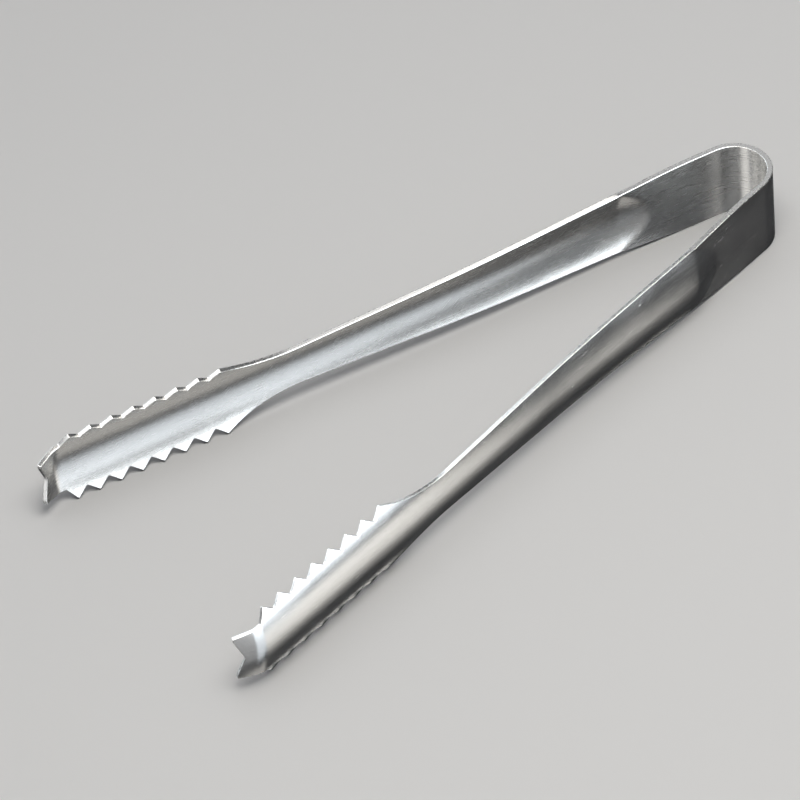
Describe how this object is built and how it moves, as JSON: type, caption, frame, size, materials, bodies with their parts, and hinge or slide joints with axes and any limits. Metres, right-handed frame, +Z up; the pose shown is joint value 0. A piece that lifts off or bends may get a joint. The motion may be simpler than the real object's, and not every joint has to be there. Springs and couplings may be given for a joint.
{
  "type": "ice tongs",
  "caption": "Ice tongs bent from a strip of stainless steel, with a springy bow, tapering troughed arms and saw-toothed claws with forked tips that grip ice cubes.",
  "frame": {"origin": "apex of the bow: middle of the strip's thickness, on the lower edge that the tongs rest on", "axes": "+X from the bow towards the claws, +Y across the opening towards the left arm, +Z up across the strip's width"},
  "size_m": [0.1804, 0.076, 0.02],
  "materials": {
    "stainless_steel": "satin polish with fine lengthwise brushing, brighter rubbed edges"
  },
  "bodies": {
    "bow": {"bow": "stainless_steel"},
    "left_arm": {"arm_left": "stainless_steel", "claw_left": "stainless_steel"},
    "right_arm": {"arm_right": "stainless_steel", "claw_right": "stainless_steel"}
  },
  "joints": [
    {"name": "squeeze_left", "type": "hinge", "parent": "bow", "child": "left_arm", "pos_m": [0.01091, 0.00823, 0.01], "axis": [0, 0, -1], "range_deg": [0, 11.5], "stiffness_Nm_per_rad": 2.8},
    {"name": "squeeze_right", "type": "hinge", "parent": "bow", "child": "right_arm", "pos_m": [0.01091, -0.00823, 0.01], "axis": [0, 0, 1], "range_deg": [0, 11.5], "stiffness_Nm_per_rad": 2.8}
  ],
  "couplings": [
    {"joint": "squeeze_right", "follows": "squeeze_left", "ratio": 1}
  ]
}
